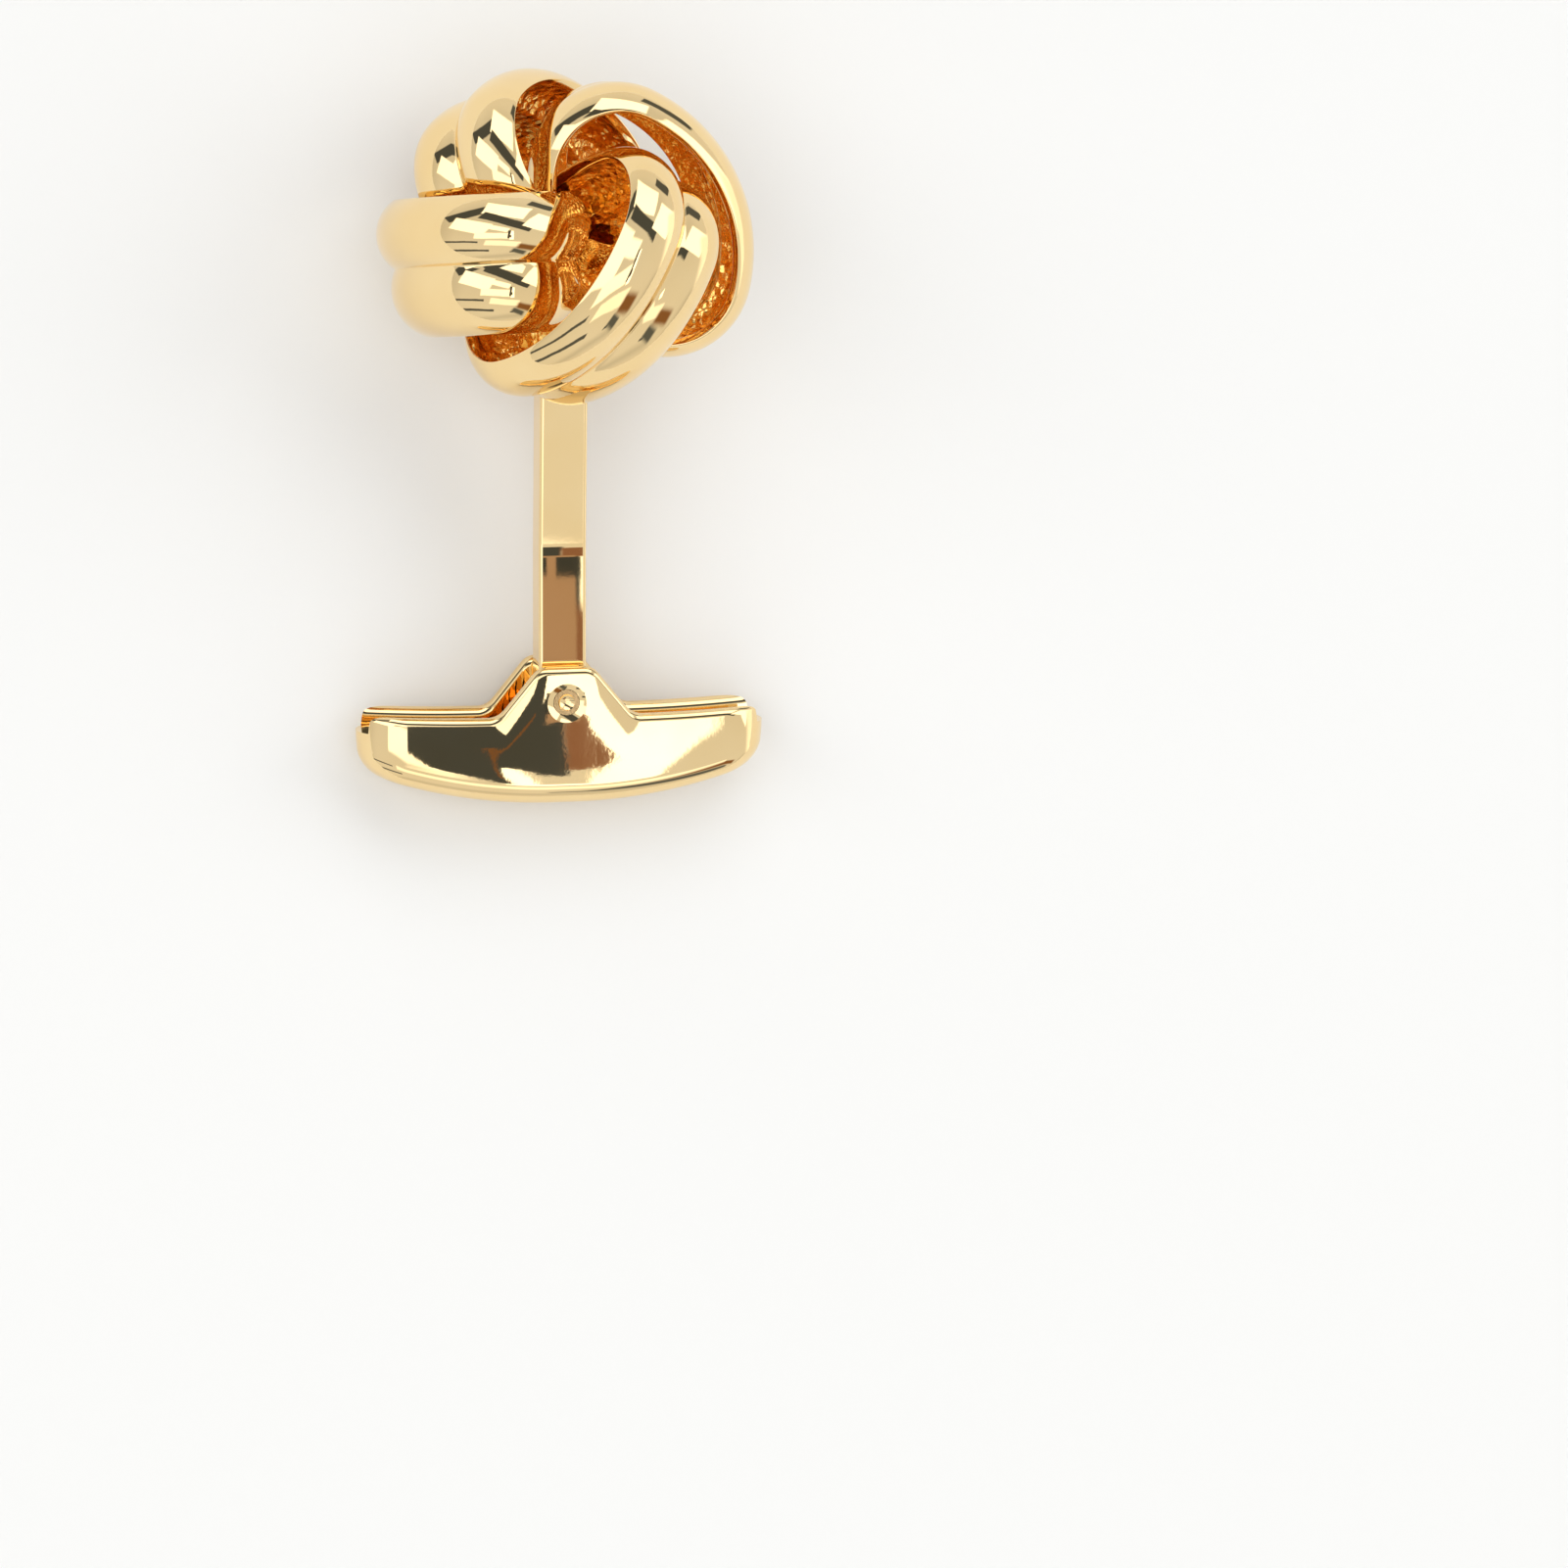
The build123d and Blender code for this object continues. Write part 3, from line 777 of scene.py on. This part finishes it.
# Studio: pale all round, with soft boxes, flags and strips. Each card is set by the slope of
# polished surface that shows it from the photograph's side: 0, 0 faces that way, x runs right, y up.
# The large ones light the knot and the toggle's ends. The small ones from front_white on are each
# fitted to one feature of the toggle's front or of the post, as seen from that side.
CARDS = [
    # name, x, y, half_width, half_height, turn, softness, brightness, colour
    ("left_shade", -0.85, 0.00, 0.25, 0.70, -8, 0.16, 0.62, "#FFFFFF"),
    ("low_shade", -0.10, -0.64, 0.42, 0.03, 8, 0.05, 0.64, "#FFFFFF"),
    ("right_shade", 0.56, -0.52, 0.04, 0.22, -38, 0.05, 0.58, "#FFFFFF"),
    ("left_flag", -0.33, 0.36, 0.26, 0.070, 24, 0.01, 0.10, "#E3F0FF"),
    ("high_white", 0.10, 0.42, 0.25, 0.13, -18, 0.01, 2.0, "#FFFFFF"),
    ("left_white", -0.30, 0.09, 0.22, 0.13, -24, 0.01, 1.9, "#FFFFFF"),
    ("middle_flag", 0.12, 0.17, 0.34, 0.075, -30, 0.01, 0.10, "#E3F0FF"),
    ("high_strip", 0.46, 0.52, 0.16, 0.045, -28, 0.01, 0.13, "#E3F0FF"),
    ("right_white", 0.54, 0.12, 0.19, 0.16, -30, 0.01, 2.0, "#FFFFFF"),
    ("centre_white", 0.02, 0.02, 0.13, 0.045, -22, 0.01, 1.9, "#FFFFFF"),
    ("left_line", -0.46, -0.27, 0.26, 0.020, -4, 0.006, 0.14, "#E3F0FF"),
    ("end_white", -0.05, -0.145, 0.195, 0.065, -5, 0.01, 1.8, "#FFFFFF"),
    ("low_white", 0.08, -0.33, 0.20, 0.055, -8, 0.01, 1.5, "#FFFFFF"),
    ("low_brown", 0.35, -0.43, 0.11, 0.060, -20, 0.03, 0.50, "#C08A5C"),
    ("belly_line", 0.170, -0.53, 0.020, 0.010, 0, 0.004, 0.12, "#E3F0FF"),
    ("low_line", -0.34, -0.47, 0.28, 0.022, -4, 0.006, 0.14, "#E3F0FF"),
    ("low_flag", 0.25, -0.52, 0.08, 0.045, -30, 0.02, 0.16, "#E3F0FF"),
    ("far_right_white", 0.74, -0.10, 0.08, 0.30, 8, 0.04, 1.4, "#FFFFFF"),
    ("front_white", 0.1790, -0.145, 0.0250, 0.100, 0, 0.002, 2.4, "#FFFFFF"),
    ("post_upper", 0.1725, -0.1915, 0.0065, 0.0145, 0, 0.0008, 0.86, "#FFFFFF"),
    ("front_flag", 0.1519, -0.125, 0.0142, 0.093, -5, 0.001, 0.090, "#E3F0FF"),
    ("front_flag_low", 0.1656, -0.168, 0.0078, 0.0225, 0, 0.0006, 0.090, "#E3F0FF"),
    ("front_flag_middle", 0.1712, -0.151, 0.0062, 0.0080, 0, 0.0006, 0.090, "#E3F0FF"),
    ("front_brown_left", 0.1565, -0.180, 0.0010, 0.030, 0, 0.0006, 0.42, "#C08A60"),
    ("front_brown", 0.1762, -0.1705, 0.0031, 0.0160, 0, 0.0006, 0.52, "#C8947A"),
    ("post_brown", 0.1722, -0.1490, 0.0042, 0.0095, 0, 0.0004, 0.76, "#D0B09C"),
    ("post_flag", 0.1748, -0.1463, 0.0027, 0.0064, 0, 0.0002, 0.07, "#E3F0FF"),
    ("post_flag_left", 0.1685, -0.1463, 0.0016, 0.0064, 0, 0.0002, 0.07, "#E3F0FF"),
]
STUDIO_TOP = 0.70
STUDIO_BOTTOM = 0.87
HORIZON = 0.82
ROOM_LOW = -0.7
ROOM_HIGH = 0.6
FLOOR_FROM = 0.50
FLOOR_FULL = 0.70


def studio_world():
    """Light from all round, as directions fixed to the floor."""
    world = bpy.data.worlds.new("studio")
    bpy.context.scene.world = world
    world.use_nodes = True
    tree = world.node_tree

    turn = LAID.to_3x3()
    right, up, back = [(turn @ axis).normalized() for axis in (VIEW_RIGHT, VIEW_UP, VIEW_BACK)]
    way = add(tree, "ShaderNodeTexCoord").outputs["Generated"]
    between = add(tree, "ShaderNodeVectorMath", {"operation": "ADD"}, {1: back}, {0: way}).outputs[0]
    facing = add(tree, "ShaderNodeVectorMath", {"operation": "NORMALIZE"}, links={0: between}).outputs[0]
    across = [add(tree, "ShaderNodeVectorMath", {"operation": "DOT_PRODUCT"}, {1: axis}, {0: facing})
              for axis in (right, up)]
    x, y = [node.outputs["Value"] for node in across]
    height = add(tree, "ShaderNodeMapRange", {"interpolation_type": "SMOOTHSTEP"},
                 {"From Min": ROOM_LOW, "From Max": ROOM_HIGH,
                  "To Min": STUDIO_BOTTOM, "To Max": STUDIO_TOP}, {"Value": y})
    # down at the floor's level the room is as bright as the floor
    slope = add(tree, "ShaderNodeCombineXYZ", links={"X": x, "Y": y}).outputs[0]
    away = add(tree, "ShaderNodeVectorMath", {"operation": "LENGTH"}, links={0: slope}).outputs["Value"]
    low = add(tree, "ShaderNodeMapRange", {"interpolation_type": "SMOOTHSTEP"},
              {"From Min": FLOOR_FROM, "From Max": FLOOR_FULL}, {"Value": away}).outputs[0]
    level = add(tree, "ShaderNodeMix", {"data_type": "FLOAT"}, {3: HORIZON},
                {0: low, 2: height.outputs[0]}).outputs[0]
    colour = add(tree, "ShaderNodeCombineColor", links={k: level for k in range(3)}).outputs[0]
    for name, card_x, card_y, half_x, half_y, angle, soft, bright, hue in CARDS:
        placed = add(tree, "ShaderNodeMapping", {"vector_type": "TEXTURE"},
                     {"Location": (card_x, card_y, 0), "Rotation": (0, 0, math.radians(angle)),
                      "Scale": (half_x, half_y, 1)}, {"Vector": slope})
        sides = add(tree, "ShaderNodeVectorMath", {"operation": "ABSOLUTE"}, links={0: placed.outputs[0]})
        side = add(tree, "ShaderNodeSeparateXYZ", links={0: sides.outputs[0]}).outputs
        edges = [add(tree, "ShaderNodeMapRange", {"interpolation_type": "SMOOTHSTEP"},
                     {"From Min": 1 + soft / half, "From Max": 1 - soft / half}, {"Value": side[axis]})
                 for axis, half in (("X", half_x), ("Y", half_y))]
        inside = add(tree, "ShaderNodeMath", {"operation": "MULTIPLY"},
                     links={k: edge.outputs[0] for k, edge in enumerate(edges)})
        mix = add(tree, "ShaderNodeMix", {"data_type": "RGBA", "label": name},
                  links={"Factor": inside.outputs[0], 6: colour})
        mix.inputs[7].default_value = [bright * c for c in srgb(hue)[:3]] + [1.0]
        colour = mix.outputs[2]
    tree.links.new(colour, tree.nodes["Background"].inputs["Color"])


studio_world()
bpy.context.scene.view_settings.view_transform = "Standard"
# light bounces many times inside the hollow knot
bpy.context.scene.cycles.glossy_bounces = 7
